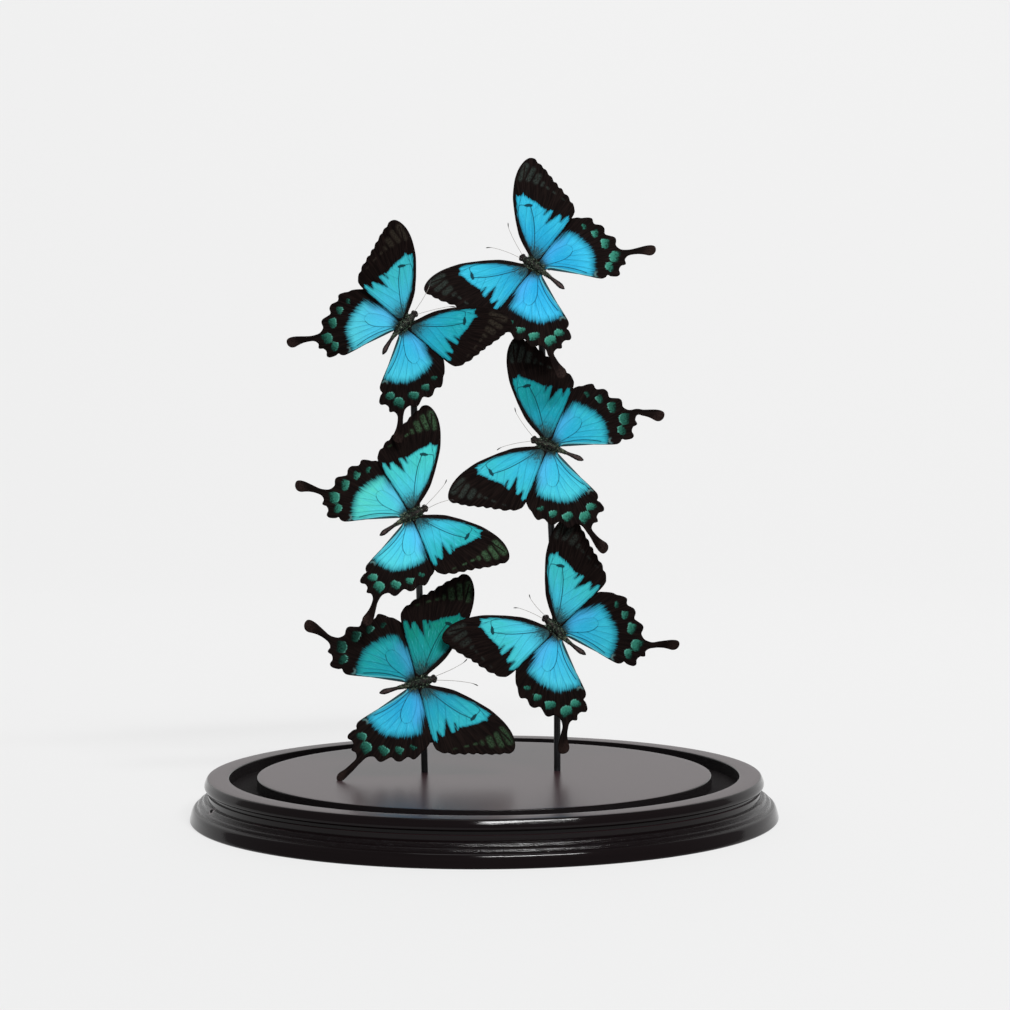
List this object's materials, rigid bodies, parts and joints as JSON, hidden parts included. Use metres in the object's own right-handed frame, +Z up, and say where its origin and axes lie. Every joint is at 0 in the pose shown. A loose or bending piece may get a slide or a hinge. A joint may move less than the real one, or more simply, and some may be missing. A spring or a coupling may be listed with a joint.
{
  "type": "butterfly display on turned base",
  "caption": "Mounted blue and black swallowtail butterflies on slim black rods above a round turned base with a ring groove for a dome.",
  "frame": {"origin": "centre of the base's flat underside", "axes": "+Z up along the base's turned axis, -Y to the front, which the butterflies' upper sides face"},
  "size_m": [0.2796, 0.2796, 0.3134],
  "materials": {
    "painted_wood": "black satin paint on turned wood",
    "rod_steel": "blackened, satin",
    "butterfly": "dry scaled wings, turquoise blue inside wide velvet black borders"
  },
  "bodies": {
    "root": {"base": "painted_wood", "rod_left": "rod_steel", "rod_right": "rod_steel", "butterfly_top_left": "butterfly", "butterfly_middle_left": "butterfly", "butterfly_bottom_left": "butterfly", "butterfly_top_right": "butterfly", "butterfly_middle_right": "butterfly", "butterfly_bottom_right": "butterfly"}
  },
  "joints": []
}
